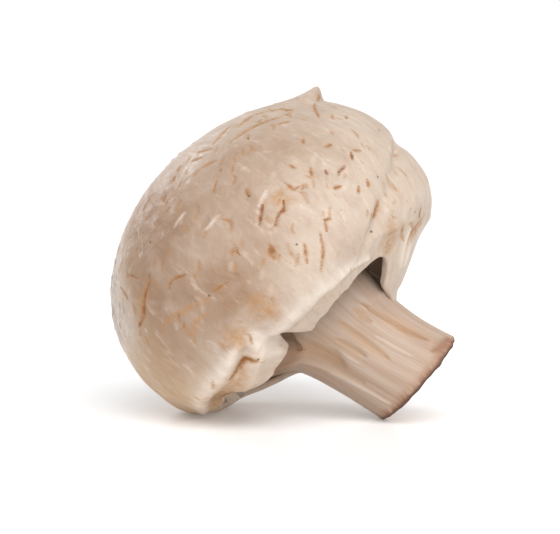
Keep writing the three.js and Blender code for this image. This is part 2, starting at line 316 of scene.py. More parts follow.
skinMarks = [
    ("crease", [(30, 37.6), (10, 38.0), (-4, 39.6)]),
    ("valley", [(-4, 39.6), (-12, 41.2), (-25, 43.9), (-36, 46.8), (-46, 49.6)]),
    ("fold", [(30, 42.5), (10, 43.5), (-12, 46.5), (-28, 49.6)]),
    ("valley", [(-104, 46.4), (-112, 46.8), (-124, 47.4), (-142, 48.4)]),
    ("crest", [(-104, 44.6), (-116, 44.4), (-134, 45.6), (-156, 47.2)]),
    ("crest", [(-102, 47.8), (-93, 48.4), (-80, 47.8), (-66, 48.6), (-54, 50.2), (-43, 52.4)]),
    ("blanch", [(-98, 46.6), (-101, 50.0), (-103, 53.0)]),
    ("dent", [(-77, 50.4), (-72, 49.8), (-68, 49.6)]),
    ("dent", [(-62, 50.6), (-54, 51.4)]),
    ("dent", [(-88, 51.0), (-84, 50.6)]),
    ("wash", [(-112, 47.0), (-128, 47.6), (-144, 48.6)]),
    ("sweep", [(-18, 22.4), (-27, 18.6), (-38, 18.9)]),
    ("sweep", [(-26, 24.0), (-37, 21.6), (-50, 20.9)]),
    ("sweep", [(-29, 25.8), (-33, 24.8)]),
    ("sweep", [(-36, 16.8), (-53, 17.8)]),
    ("sweep", [(-56, 18.7), (-60, 16.0)]),
    ("sweep", [(-62, 18.4), (-66, 17.0)]),
    ("sweep", [(-61, 21.8), (-67, 20.5)]),
    ("sweep", [(-68, 20.3), (-72, 20.8)]),
    ("slit", [(-64, 33.4), (-67, 34.4), (-70, 35.4)]),
    ("fibre", [(-60, 32.4), (-66, 33.4)]),
    ("wash", [(-58, 34.2), (-61, 35.6)]),
    ("slit", [(-59, 35.2), (-61, 36.2), (-63, 36.2), (-67, 37.0)]),
    ("scratch", [(-54, 33.4), (-54, 35.0), (-52, 35.2)]),
    ("scratch", [(-48, 31.8), (-48, 32.9)]),
    ("scratch", [(-44, 34.2), (-46, 35.3)]),
    ("slit", [(-41, 35.9), (-42, 36.8)]),
    ("slit", [(-34, 37.3), (-37, 37.4), (-39, 37.7)]),
    ("slit", [(-28, 36.3), (-30, 37.3)]),
    ("scratch", [(-27, 36.2), (-24, 37.0)]),
    ("scratch", [(-31, 33.6), (-34, 33.3)]),
    ("scratch", [(-36, 30.1), (-38, 30.9)]),
    ("scratch", [(-11, 31.1), (-14, 31.6)]),
    ("scratch", [(-44, 38.7), (-41, 39.2)]),
    ("scratch", [(-36, 40.8), (-38, 41.6)]),
    ("scratch", [(-31, 40.8), (-33, 41.8)]),
    ("scratch", [(-54, 41.1), (-52, 41.8)]),
    ("scratch", [(-54, 41.3), (-56, 42.6)]),
    ("scratch", [(-64, 41.5), (-68, 43.7)]),
    ("scratch", [(-58, 42.0), (-61, 44.0), (-66, 45.8)]),
    ("scar", [(-72, 38.3), (-74, 40.0)]),
    ("scratch", [(-122, 23.8), (-119, 25.0), (-116, 26.4)]),
    ("scratch", [(-131, 23.8), (-127, 26.7)]),
    ("scar", [(-112, 28.2), (-118, 29.2), (-121, 30.6), (-127, 31.2)]),
    ("scratch", [(-106, 31.6), (-103, 31.2), (-98, 32.2)]),
    ("scratch", [(-90, 37.4), (-95, 36.9)]),
    ("tide", [(-118, 35.3), (-116, 34.4), (-106, 35.6), (-101, 36.6), (-97, 37.2)]),
    ("tide", [(-110, 36.7), (-111, 38.6), (-106, 37.8), (-102, 38.2)]),
    ("wash", [(-101, 42.6), (-103, 45.0)]),
    ("wash", [(-88, 41.6), (-87, 45.4)]),
    ("scar", [(-118, 45.9), (-112, 46.6), (-108, 47.0), (-107, 48.6)]),
    ("fibre", [(-84, 25.0), (-91, 25.4)]),
    ("fibre", [(-76, 29.8), (-83, 30.0)]),
    ("dent", [(-80, 28.6), (-83, 29.0)]),
    ("scar", [(-31, 44.4), (-34, 45.4), (-36, 46.5)]),
    ("wash", [(-30, 48.6), (-28, 50.9), (-27, 53.6)]),
    ("wash", [(-4, 50.5), (-9, 52.5)]),
    ("pleat", [(-15, 50.5), (-15, 53), (-12, 57)]),
    ("pleat", [(-8, 52.5), (-6, 57)]),
    ("sweep", [(-19, 49.4), (-15, 49.8), (-11, 51.4), (-11, 53.2)]),
    ("scar", [(-3, 49.0), (-5, 50.2), (-10, 51.6)]),
    ("sweep", [(2, 50.4), (-4, 51.2), (-8, 52.6)]),
    ("sweep", [(-23, 49.1), (-17, 52.4)]),
    ("slit", [(-8, 47.5), (-9, 49.3)]),
    ("scratch", [(3, 24.7), (-4, 25.2)]),
    ("scratch", [(-8, 25.4), (-16, 27.0), (-22, 29.0)]),
    ("spot", [(-97, 36.8)]), ("spot", [(-65, 31.1)]), ("spot", [(-104, 23.3)]), ("spot", [(-45, 23.0)]),
    ("spot", [(-106, 48.7)]), ("spot", [(-66, 40.9)]), ("spot", [(-26, 41.3)]), ("spot", [(-39, 48.3)]),
    ("spot", [(-5, 35.7)]), ("spot", [(-14, 48.0)]),
]

# short scratches and lifted flakes, scattered where the skin is worn; they lean down and to one side
wornSkin = {
    "count": 120, "seed": 21, "kinds": ("hairline", "nick", "lift", "hairline", "hairline"),
    "azimuth": (-128, 12), "along": (14, 46), "length": (0.7, 2.4), "lean": (0.2, 1.25), "bow": 0.35,
    "domeLength": 36.9, "leastRadius": 5,
}


def scatteredMarks():
    chance = np.random.default_rng(wornSkin["seed"])
    marks = []
    for i in range(wornSkin["count"]):
        azimuth, along = chance.uniform(*wornSkin["azimuth"]), chance.uniform(*wornSkin["along"])
        length, lean = chance.uniform(*wornSkin["length"]), chance.uniform(*wornSkin["lean"])
        fromCrown = min(along / wornSkin["domeLength"], 1) * math.pi / 2
        perDegree = math.radians(1) * max(cap["radius"] * math.sin(fromCrown), wornSkin["leastRadius"])
        across, down = -math.sin(lean) * length / perDegree, math.cos(lean) * length
        bow = chance.uniform(-wornSkin["bow"], wornSkin["bow"])
        middlePlace = (azimuth + across / 2 + bow * down / perDegree, along + down / 2)
        kind = wornSkin["kinds"][i % len(wornSkin["kinds"])]
        marks.append((kind, [(azimuth, along), middlePlace, (azimuth + across, along + down)]))
    return marks


def addMarks(marks, base, shift, tones, pathPoint):
    for kind, places in marks:
        look = markKinds[kind]
        path = np.array([pathPoint(*place) for place in places * (2 if len(places) == 1 else 1)])
        if len(path) > 2:
            path = curveThrough(path, 6)
        distance, place = pathDistance(base, path)
        width = look["width"] * (1 - look.get("taper", 0.6) * np.abs(2 * place - 1) ** 2)
        share = np.exp(-(distance / width) ** 2)
        shift += look.get("rise", 0) * share
        for name in tones:
            if name in look:
                spread = share ** 0.5 if name == "stain" else share
                tones[name] = np.maximum(tones[name], look[name] * spread)


def tipLift(azimuth, along):
    across = np.exp(-(wrapDegrees(azimuth - skinTip["azimuth"]) / skinTip["halfWidth"]) ** 2)
    rising = np.clip((along - skinTip["along"] + skinTip["slope"]) / skinTip["slope"], 0, 1) ** 3
    falling = 1 - smooth(along, skinTip["along"], skinTip["along"] + skinTip["drop"])
    return skinTip["height"] * across * rising * falling


def flakyShare(azimuth, along):
    # the skin is loose and scaly over the crown and round the back; away from azimuth -60 this share also
    # carries painted rim light along the silhouettes
    share = smooth(np.abs(wrapDegrees(azimuth + 60)), 60, 76)
    return np.maximum(share, 1 - smooth(along, 5, 12)) * (1 - smooth(along, 27, 37))


def skinCracks(grain, flaky, along):
    # thin lines down the cap, faint on the worn side and plain where the skin is loose
    lines = 1 - smooth(np.abs(roughness(grain, 1.5, 9, (1, 1, 0.3))), 0.0, 0.09)
    return (0.15 + 0.85 * flaky) * lines * (1 - smooth(along, 40, 48))


def skinPlace(azimuth, along):
    return capPoint(np.array(float(azimuth)), np.array(float(along)))


def buildCap():
    azimuth, along = capGrid()
    columns = azimuth.shape[1]
    base = capPoint(azimuth, along)
    normal = surfaceNormals(base)
    grain = grainPlace(azimuth, along, cap["grainRadius"])
    shift = sum(height * roughness(base, size, seed) for height, size, seed in cap["unevenness"])
    flaky = flakyShare(azimuth, along)
    cracks = skinCracks(grain, flaky, along)
    shift -= cap["crackDepth"] * cracks
    tones = {name: np.zeros(along.shape) for name in ("bruise", "stain", "pale", "speck")}
    tones["pale"] = 0.08 * smooth(along, lipLength - 1.5, lipLength + 1.5)
    addMarks(skinMarks + scatteredMarks(), base, shift, tones, skinPlace)
    tones["crack"] = cracks
    tones["warm"] = 1 - smooth(np.abs(wrapDegrees(azimuth + 170)), 25, 60)
    lift = tipLift(azimuth, along)[..., None]
    downhill = np.gradient(base, axis=0)
    downhill /= np.maximum(np.linalg.norm(downhill, axis=-1, keepdims=True), 1e-9)
    skin = base + normal * shift[..., None] + (normal + downhill * skinTip["lean"]) * lift
    normal = surfaceNormals(skin)
    # the veil folds over at its edge and runs back inside
    edge, beside = skin[-1], skin[-4]
    out = edge - beside
    out /= np.maximum(np.linalg.norm(out, axis=-1, keepdims=True), 1e-9)
    thick = cap["veilThickness"]
    edgeNormal = surfaceNormals(skin[-8:])[-2]
    rings = list(skin)
    for turn in np.radians(np.arange(30, 181, 30)):
        ahead, under = out * thick / 2 * math.sin(turn), edgeNormal * thick / 2 * (1 - math.cos(turn))
        rings.append(edge + ahead - under)
    veilStart = len(skin) - cap["veilRings"]
    for i in range(len(skin) - 5, veilStart, -4):
        rings.append(skin[i] - normal[i] * (thick + 0.02 * (len(skin) - i)))
    outerCount = len(rings)
    for radius, height in curveThrough(cap["chamber"], 6):
        rings.append(shapeCap(np.full(columns, radius), np.full(columns, height), azimuth[0]))
    for radius, height in cap["socket"]:
        rings.append(polar(np.full(columns, radius), azimuth[0], height))
    inner = len(rings) - len(skin)
    # painted shade: this tan share is strongest on the lower and front side of the dome and weak on the upper
    # side that faces the key light; part of it is the skin's own tan
    upperSide = smooth(azimuth, -100, -20)
    tones["flaky"] = flaky
    tones["tanAndShade"] = (1 - smooth(along, 38 - 14 * upperSide, 48 - 8 * upperSide)) * (1 - 0.68 * upperSide)
    values = {name: np.vstack([share, np.zeros((inner, columns))]) for name, share in tones.items()}
    values["veil"] = np.vstack([smooth(along, lipLength - 4, lipLength + 1), np.ones((inner, columns))])
    values["inside"] = np.zeros((len(rings), columns))
    values["inside"][outerCount:] = 1
    values["grain"] = np.concatenate([grain, np.repeat(grain[-1:], inner, 0)])
    values["downhill"] = np.concatenate([laid(downhill), np.zeros((inner, columns, 3))])
    return meshFromRings("capSkin", rings, skinPlace(0, 0), np.array([0, cap["socket"][-1][1], 0.0]), values)


capPiece = buildCap()
print("cap:", len(capPiece.data.vertices), "points")

stem = {
    "cutHeight": 27.6, "bend": 3.2, "bendStart": 9.0, "bendPower": 1.65,
    "lumps": [(0.018, 2, 0.5), (0.014, 5, 1.9)],  # share, waves, phase
    "fibres": [(0.16, 3.2, 5, 0.16), (0.09, 1.1, 6, 0.1)],  # height, size, seed, stretch
    "grainRadius": 7.57, "columns": 270, "step": 0.22,
    # the root, spread into the flesh under the veil, and the stem down to the cut: radius and height
    "root": [(19.0, 9.0), (15.5, 10.8), (12.0, 12.6), (10.0, 13.8), (8.8, 14.7), (8.25, 15.9), (7.95, 18.0),
             (7.75, 22.0), (7.95, 27.6)],
    "rootEnd": 20, "rootThickness": 0.7, "rootUnderside": (14.0, 9.5),
    "neck": [(7.75, 4.0), (7.75, -5.7)],  # inside the cap, radius and height
    # the cut: its round edge, how it slants and dips, its rings from the edge in, and the dark rind on them
    "cutRound": 0.3, "cutSlant": 0.21, "cutDip": 0.25, "ragged": 0.25, "cutRough": 0.12,
    "cutTurns": (25, 50, 75, 90), "cutShares": (0.93, 0.85, 0.75, 0.6, 0.45, 0.3, 0.15),
    "rind": (0.2, 0.6, 0.9, 1.0, 0.9, 0.55, 0.15), "dried": 2.2, "singed": 1.7,
    # on the near side the flesh has torn away from the root, and the stem runs straight up into a gap; from
    # the azimuth "dark" on, the gap is painted with shade
    "gap": {"from": -116, "to": 1, "soft": 7, "depth": 5.0, "radii": (8.5, 9.9), "dark": -46},
}
stemMarks = [
    ("groove", [(-44, 14.6), (-41, 17), (-37, 20.4), (-33, 24)]),
    ("thread", [(-47, 14.6), (-43, 17.4), (-40, 20.4)]),
    ("furrow", [(-72, 14.6), (-72, 17), (-75, 22.3)]),
    ("furrow", [(-54, 14.6), (-52, 17)]),
    ("furrow", [(-88, 15.5), (-86, 20)]),
    # painted shade in the notch under the lobes
    ("hollow", [(-114, 13.8), (-112, 15), (-110, 18)]),
    ("ridge", [(-146, 12.2), (-137, 13.6), (-129, 15.8), (-125, 19), (-122, 23), (-121, 26)]),
    # painted shade below the ridge
    ("undercut", [(-131, 13.4), (-121, 15.6), (-117, 19), (-115, 22)]),
    ("thread", [(-98, 15.2), (-97, 20)]),
    ("thread", [(-62, 19), (-60, 24)]),
    ("bruising", [(-42, 25.6), (-30, 26.2), (-12, 26.2)]),
]
markKinds.update({
    "groove": {"width": 0.5, "rise": -0.45, "stain": 0.6, "bruise": 0.12},
    "furrow": {"width": 0.5, "rise": -0.3, "stain": 0.5},
    "thread": {"width": 0.22, "rise": 0.15, "pale": 0.7},
    "bruising": {"width": 0.9, "bruise": 0.6},
    # painted shade: the hollow's stain share darkens the notch under the lobes, where shade falls
    "hollow": {"width": 2.2, "rise": -0.6, "stain": 0.5},
    "ridge": {"width": 0.5, "rise": 0.28, "pale": 0.6},
    # painted shade: the undercut's stain share darkens the strip below the ridge, where shade falls
    "undercut": {"width": 0.7, "rise": -0.22, "stain": 0.3},
})


def gapShare(azimuth, radius):
    gap = stem["gap"]
    opening = smooth(azimuth, gap["from"], gap["from"] + 2 * gap["soft"])
    closing = smooth(azimuth, gap["to"] - gap["soft"], gap["to"])
    return opening * (1 - closing) * smooth(radius, *gap["radii"])


def shapeStem(radius, azimuth, height):
    turn = np.radians(azimuth)
    uneven = sum(share * np.cos(waves * turn + phase) for share, waves, phase in stem["lumps"])
    inRoot = (height < stem["rootEnd"]) * 1.0
    height = height + cap["rimLean"] * np.cos(turn) * smooth(radius, 8.1, 9.1) * inRoot
    height = height - stem["gap"]["depth"] * gapShare(azimuth, radius) * inRoot
    nearCut = smooth(height, stem["rootEnd"], stem["cutHeight"])
    height = height - stem["cutSlant"] * radius * np.sin(turn) * nearCut
    point = polar(radius * (1 + uneven), azimuth, 0)
    bend = np.clip((height - stem["bendStart"]) / (stem["cutHeight"] - stem["bendStart"]), 0, 1)
    point[..., 0] += stem["bend"] * bend ** stem["bendPower"]
    point[..., 1] = height
    return point


stemSide = curveThrough(stem["root"], 14)
stemSide = stemSide[stemSide[:, 1] < stem["cutHeight"] - stem["cutRound"]]
stemLength = np.concatenate([[0], np.cumsum(np.linalg.norm(np.diff(stemSide, axis=0), axis=1))])


def stemPoint(azimuth, length):
    return shapeStem(np.interp(length, stemLength, stemSide[:, 0]), azimuth,
                     np.interp(length, stemLength, stemSide[:, 1]))


def stemPlace(azimuth, height):
    # a place on the stem, by its height
    return stemPoint(np.array(float(azimuth)), np.interp(height, stemSide[:, 1], stemLength))


def buildStem():
    columns = np.linspace(-180, 180, stem["columns"], endpoint=False)
    lengths = np.arange(0, stemLength[-1], stem["step"])
    azimuth = np.repeat(columns[None], len(lengths), 0)
    length = np.repeat(lengths[:, None], len(columns), 1)
    base = stemPoint(azimuth, length)
    grain = grainPlace(azimuth, length, stem["grainRadius"])
    shift = sum(rise * roughness(grain, size, seed, (1, 1, stretch))
                for rise, size, seed, stretch in stem["fibres"])
    tones = {name: np.zeros(length.shape) for name in ("bruise", "stain", "pale")}
    addMarks(stemMarks, base, shift, tones, stemPlace)
    side = base + surfaceNormals(base) * shift[..., None]
    # under the root and up into the cap, out of sight
    thickness = [0, stem["rootThickness"], 0]
    under = [side[0] - thickness]
    for radius in stem["rootUnderside"]:
        row = np.argmin(np.abs(stemSide[:, 0] - radius))
        under.append(stemPoint(columns, stemLength[row]) - thickness)
    for radius, height in stem["neck"]:
        under.append(polar(np.full(len(columns), radius), columns, height))
    rings = under[::-1] + list(side)
    # the cut: a small round edge, then the flat end
    ragged = stem["ragged"] * roughness(grain[-1] * [1, 1, 0], 1.6, 7)
    centre = np.array([stem["bend"], 0, 0])
    spoke = (side[-1] - centre) * [1, 0, 1]
    reach = np.linalg.norm(spoke, axis=-1, keepdims=True)
    spoke /= reach
    for turnBack in np.radians(stem["cutTurns"]):
        ring = centre + spoke * (reach - stem["cutRound"] * (1 - math.cos(turnBack)))
        ring[:, 1] = side[-1][:, 1] + stem["cutRound"] * math.sin(turnBack) + ragged
        rings.append(ring)
    slant = side[-1][:, 1] + stem["cutRound"] - stem["cutHeight"]
    for share in stem["cutShares"]:
        ring = centre + spoke * reach * share
        rough = stem["cutRough"] * roughness(ring, 2.0, 8)
        ring[:, 1] = stem["cutHeight"] + (ragged + slant) * share + rough - stem["cutDip"] * (1 - share)
        rings.append(ring)
    first, last = len(under), len(rings) - len(under) - len(side)
    values = {name: np.vstack([np.repeat(tone[:1], first, 0), tone, np.repeat(tone[-1:], last, 0)])
              for name, tone in tones.items()}
    endGrain = [ring[:, [0, 2, 1]] for ring in rings[first + len(side):]]
    values["grain"] = np.concatenate([np.repeat(grain[:1], first, 0), grain, endGrain])
    dried = 0.8 * smooth(length, stemLength[-1] - stem["dried"], stemLength[-1])
    singed = smooth(length, stemLength[-1] - stem["singed"], stemLength[-1])
    radius = np.interp(length, stemLength, stemSide[:, 0])
    # painted shade: the root colour darkens the flare on the lower side and the stem's root inside the gap
    # under the veil, where shade falls
    shaded = smooth(radius, 8.3, 11) * (1 - smooth(azimuth, -105, -70))
    inGap = smooth(azimuth, stem["gap"]["dark"] - 8, stem["gap"]["dark"]) * (1 - smooth(azimuth, -2, 10))
    shaded = np.maximum(shaded, inGap * smooth(radius, 9.2, 10.2))
    for name, before, share, after in (("singe", 0, singed, 0), ("root", 1, shaded, 0), ("cut", 0, dried, 1)):
        values[name] = np.vstack([np.full((first, len(columns)), float(before)), share,
                                  np.full((last, len(columns)), float(after))])
    rind = np.zeros(len(rings))
    rind[-last - 2:-last + 5] = stem["rind"]
    values["edge"] = np.repeat(rind[:, None], len(columns), 1)
    top = np.array([0, stem["neck"][-1][1], 0.0])
    end = np.array([stem["bend"], stem["cutHeight"] - stem["cutDip"], 0.0])
    return meshFromRings("stemFlesh", rings, top, end, values)


stemPiece = buildStem()
print("stem:", len(stemPiece.data.vertices), "points")


def tone(red, green, blue):
    # a colour given on the usual 0 to 255 scale, made linear for the shaders
    linear = [c / 255 / 12.92 if c < 10.3 else ((c / 255 + 0.055) / 1.055) ** 2.4 for c in (red, green, blue)]
    return (*linear, 1.0)


def newMaterial(name):
    material = bpy.data.materials.new(name)
    material.use_nodes = True
    tree = material.node_tree
    return material, tree, tree.nodes["Principled BSDF"]


def addNode(tree, kind, inputs=None, **settings):
    node = tree.nodes.new(kind)
    for name, value in settings.items():
        setattr(node, name, value)
    for name, value in (inputs or {}).items():
        socket = node.inputs[name]
        if isinstance(value, bpy.types.NodeSocket):
            tree.links.new(value, socket)
        else:
            socket.default_value = value
    return node


def readValue(tree, name):
    return addNode(tree, "ShaderNodeAttribute", attribute_name=name).outputs["Fac"]


def readPlace(tree, name):
    return addNode(tree, "ShaderNodeAttribute", attribute_name=name).outputs["Vector"]


def objectPlace(tree):
    return addNode(tree, "ShaderNodeTexCoord").outputs["Object"]


def scaled(tree, vector, scale):
    return addNode(tree, "ShaderNodeMapping", {"Vector": vector, "Scale": scale}).outputs["Vector"]


def noiseValue(tree, vector, scale, detail=3, rough=0.55, distortion=0.0):
    inputs = {"Vector": vector, "Scale": scale, "Detail": detail, "Roughness": rough}
    return addNode(tree, "ShaderNodeTexNoise", {**inputs, "Distortion": distortion}).outputs["Fac"]


def ramped(tree, value, low, high, fromValue=0.0, toValue=1.0):
    inputs = {"Value": value, "From Min": low, "From Max": high, "To Min": fromValue, "To Max": toValue}
    return addNode(tree, "ShaderNodeMapRange", inputs, clamp=True).outputs["Result"]


def maths(tree, operation, first, second=0.0):
    return addNode(tree, "ShaderNodeMath", {0: first, 1: second}, operation=operation).outputs[0]


def times(tree, first, second):
    return maths(tree, "MULTIPLY", first, second)


def mixed(tree, share, first, second):
    return addNode(tree, "ShaderNodeMix", {0: share, 6: first, 7: second}, data_type="RGBA").outputs[2]


def bumped(tree, height, strength, distance, normal=None):
    inputs = {"Height": height, "Strength": strength, "Distance": distance}
    if normal is not None:
        inputs["Normal"] = normal
    return addNode(tree, "ShaderNodeBump", inputs).outputs["Normal"]


def readShare(tree, name, share):
    # a mark of the mesh, weakened to the share that its colour takes
    return times(tree, readValue(tree, name), share)


def finishFlesh(shader, finish):
    shader.inputs["Specular IOR Level"].default_value = finish["gloss"]
    shader.inputs["Subsurface Weight"].default_value = finish["softness"]
    shader.inputs["Subsurface Radius"].default_value = finish["softReach"]
    shader.inputs["Subsurface Scale"].default_value = mm


skinFinish = {
    "light": tone(196, 178, 161),
    # tan: the skin's own tan, also used as painted shade on the lower side of the dome
    "tan": tone(154, 123, 98),
    "cool": tone(187, 166, 150),
    "pale": tone(225, 212, 199),
    # loose: pale loose skin, and painted rim light along the silhouettes
    "loose": tone(211, 200, 192),
    "crack": tone(168, 146, 130),
    "warm": tone(188, 158, 124),
    "stain": tone(172, 128, 82),
    "bruise": tone(138, 84, 40),
    "speck": tone(56, 34, 20),
    "within": tone(150, 116, 92),
    # how far some of these colours take over
    "tanAndShadeShare": 0.9, "warmShare": 0.85, "looseAndRimLightShare": 0.7, "coolShare": 0.65, "streakShare": 0.32,
    "roughness": 0.5, "gloss": 0.4, "softness": 0.22, "softReach": (1.1, 0.7, 0.5),
    "fibreRise": 0.15, "grainRise": 0.05, "lumpRise": 0.5,  # millimetres of bump
}


def brokenMark(tree, name, ragged, low, high):
    # a mark with a torn, uneven outline
    value = maths(tree, "ADD", readValue(tree, name), times(tree, ragged, readValue(tree, name)))
    return ramped(tree, value, low, high)


def capSkinMaterial():
    material, tree, shader = newMaterial("mushroomSkin")
    place, grain = objectPlace(tree), readPlace(tree, "grain")
    broad = ramped(tree, noiseValue(tree, place, 85, 3), 0.3, 0.7, -0.35, 0.35)
    # the tan mix is the skin's own tan plus painted shade on the lower side of the dome
    tanAndShade = maths(tree, "ADD", readShare(tree, "tanAndShade", skinFinish["tanAndShadeShare"]), broad)
    colour = mixed(tree, ramped(tree, tanAndShade, 0, 1), skinFinish["light"], skinFinish["tan"])
    colour = mixed(tree, readShare(tree, "warm", skinFinish["warmShare"]), colour, skinFinish["warm"])
    # painted rim light: the pale loose tone over the flaky share is partly loose skin and partly painted rim
    # light along the silhouettes
    colour = mixed(tree, readShare(tree, "flaky", skinFinish["looseAndRimLightShare"]), colour, skinFinish["loose"])
    cool = ramped(tree, noiseValue(tree, scaled(tree, place, (1, 1, 1.3)), 140, 3, 0.5, 0.4), 0.52, 0.72)
    colour = mixed(tree, times(tree, cool, skinFinish["coolShare"]), colour, skinFinish["cool"])
    streak = noiseValue(tree, scaled(tree, grain, (1, 1, 0.3)), 0.9, 5, 0.62, 0.3)
    most = skinFinish["streakShare"]
    colour = mixed(tree, ramped(tree, streak, 0.5, 0.75, 0, most), colour, skinFinish["tan"])
    colour = mixed(tree, ramped(tree, streak, 0.28, 0.42, most, 0), colour, skinFinish["pale"])
    pale = times(tree, readValue(tree, "pale"), ramped(tree, streak, 0.2, 0.6, 1, 0.6))
    colour = mixed(tree, pale, colour, skinFinish["pale"])
    ragged = ramped(tree, noiseValue(tree, place, 1100, 4, 0.65), 0.25, 0.75, -0.7, 0.7)
    blotch = noiseValue(tree, scaled(tree, grain, (1, 1, 0.45)), 0.75, 5, 0.7, 0.8)
    colour = mixed(tree, ramped(tree, blotch, 0.60, 0.70, 0, 0.7), colour, skinFinish["stain"])
    colour = mixed(tree, brokenMark(tree, "crack", ragged, 0.1, 1.3), colour, skinFinish["crack"])
    colour = mixed(tree, brokenMark(tree, "stain", ragged, 0.1, 1.0), colour, skinFinish["stain"])
    colour = mixed(tree, brokenMark(tree, "bruise", ragged, 0.2, 0.75), colour, skinFinish["bruise"])
    colour = mixed(tree, ramped(tree, readValue(tree, "speck"), 0.5, 0.8), colour, skinFinish["speck"])
    colour = mixed(tree, readValue(tree, "inside"), colour, skinFinish["within"])
    calm = maths(tree, "SUBTRACT", 1.0, readShare(tree, "veil", 0.75))
    patch = ramped(tree, noiseValue(tree, place, 160, 2), 0.4, 0.6, 0.3, 1)
    lumps = noiseValue(tree, place, 330, 3)
    normal = bumped(tree, times(tree, lumps, calm), 1.0, skinFinish["lumpRise"] * mm)
    fibres = times(tree, times(tree, streak, patch), calm)
    normal = bumped(tree, fibres, 1.0, skinFinish["fibreRise"] * mm, normal)
    fine = noiseValue(tree, scaled(tree, grain, (1, 1, 0.5)), 5.5, 4, 0.6)
    normal = bumped(tree, times(tree, fine, calm), 1.0, skinFinish["grainRise"] * mm, normal)
    tree.links.new(colour, shader.inputs["Base Color"])
    tree.links.new(normal, shader.inputs["Normal"])
    sheen = ramped(tree, streak, 0.3, 0.7, skinFinish["roughness"] - 0.08, skinFinish["roughness"] + 0.1)
    tree.links.new(sheen, shader.inputs["Roughness"])
    finishFlesh(shader, skinFinish)
    return material


def plainFleshMaterial(name, light, dark, scale, roughness):
    # for the small pieces: a mottled colour with a fine bump
    material, tree, shader = newMaterial(name)
    place = objectPlace(tree)
    mottle = noiseValue(tree, place, scale, 4)
    tree.links.new(mixed(tree, ramped(tree, mottle, 0.35, 0.65), dark, light), shader.inputs["Base Color"])
    fine = noiseValue(tree, place, scale * 5, 3)
    tree.links.new(bumped(tree, fine, 0.6, 0.1 * mm), shader.inputs["Normal"])
    tree.links.new(ramped(tree, mottle, 0, 1, roughness - 0.06, roughness + 0.06), shader.inputs["Roughness"])
    shader.inputs["Specular IOR Level"].default_value = 0.35
    return material


stemFinish = {
    "light": tone(189, 169, 153),
    "tan": tone(174, 148, 128),
    "pale": tone(208, 193, 180),
    "stain": tone(182, 144, 106),
    "bruise": tone(132, 84, 56),
    "rind": tone(74, 38, 24),
    "cut": tone(192, 158, 130),
    # root: painted shade for the flare and for the gap under the veil
    "root": tone(142, 110, 84),
    "rootShadeShare": 0.85, "cutShare": 0.5, "singeShare": 0.8,
    "roughness": 0.6, "gloss": 0.3, "softness": 0.25, "softReach": (1.2, 0.7, 0.45), "fibreRise": 0.3,
}


def stemMaterial():
    material, tree, shader = newMaterial("stemFibre")
    grain = readPlace(tree, "grain")
    wide = noiseValue(tree, scaled(tree, grain, (1, 1, 0.07)), 0.55, 3)
    thin = noiseValue(tree, scaled(tree, grain, (1, 1, 0.05)), 2.6, 4)
    streaks = ramped(tree, maths(tree, "ADD", wide, times(tree, thin, 0.6)), 0.62, 1.0)
    colour = mixed(tree, streaks, stemFinish["tan"], stemFinish["light"])
    colour = mixed(tree, readValue(tree, "pale"), colour, stemFinish["pale"])
    colour = mixed(tree, readValue(tree, "stain"), colour, stemFinish["stain"])
    # painted shade on the root's flare and in the gap under the veil
    colour = mixed(tree, readShare(tree, "root", stemFinish["rootShadeShare"]), colour, stemFinish["root"])
    colour = mixed(tree, readShare(tree, "cut", stemFinish["cutShare"]), colour, stemFinish["cut"])
    torn = ramped(tree, noiseValue(tree, scaled(tree, grain, (1, 1, 0.3)), 0.9, 5, 0.65), 0.36, 0.58)
    singed = times(tree, readShare(tree, "singe", stemFinish["singeShare"]), torn)
    colour = mixed(tree, singed, colour, stemFinish["bruise"])
    colour = mixed(tree, readValue(tree, "bruise"), colour, stemFinish["bruise"])
    colour = mixed(tree, readValue(tree, "edge"), colour, stemFinish["rind"])
    normal = bumped(tree, thin, 0.4, stemFinish["fibreRise"] * mm)
    tree.links.new(colour, shader.inputs["Base Color"])
    tree.links.new(normal, shader.inputs["Normal"])
    shader.inputs["Roughness"].default_value = stemFinish["roughness"]
    finishFlesh(shader, stemFinish)
    return material


studio = {
    "floorSide": 30.0, "floorGlow": 0.15, "floorGloss": 0.16, "worldGlow": 0.4,
    "lamps": {
        "softKey": {"power": 2.75, "spread": 60, "colour": (1, 1, 1), "place": (0.22, -0.32, 0.42)},
        "coolRim": {"power": 1.0, "spread": 25, "colour": (0.92, 0.96, 1), "place": (-0.34, 0.26, 0.2)},
    },
    "lampAim": (0, 0, 0.02),
    "azimuth": 16.0, "elevation": 5.5, "distance": 0.4, "lens": 175.0, "filmWidth": 36,
    "aimRight": 1.18 * mm, "aimUp": -0.44 * mm,  # from the cap's middle to the picture's centre
}


def floorMaterial():
    material, tree, shader = newMaterial("paleFloor")
    shader.inputs["Base Color"].default_value = (0.95, 0.95, 0.95, 1)
    shader.inputs["Specular IOR Level"].default_value = 0
    shader.inputs["Roughness"].default_value = 1
    shader.inputs["Emission Color"].default_value = (1, 1, 1, 1)
    shader.inputs["Emission Strength"].default_value = studio["floorGlow"]
    sheen = ramped(tree, noiseValue(tree, objectPlace(tree), 30, 2), 0, 1, 0.16, 0.24)
    gloss = addNode(tree, "ShaderNodeBsdfAnisotropic", {"Roughness": sheen, "Color": (1, 1, 1, 1)})
    share = studio["floorGloss"]
    both = addNode(tree, "ShaderNodeMixShader", {0: share, 1: shader.outputs[0], 2: gloss.outputs[0]})
    tree.links.new(both.outputs[0], tree.nodes["Material Output"].inputs["Surface"])
    return material


def addFloor():
    half = studio["floorSide"] / 2
    mesh = bpy.data.meshes.new("floor")
    corners = [(-half, -half, 0), (half, -half, 0), (half, half, 0), (-half, half, 0)]
    mesh.from_pydata(corners, [], [(0, 1, 2, 3)])
    mesh.materials.append(floorMaterial())
    floor = addPiece("floor", mesh)


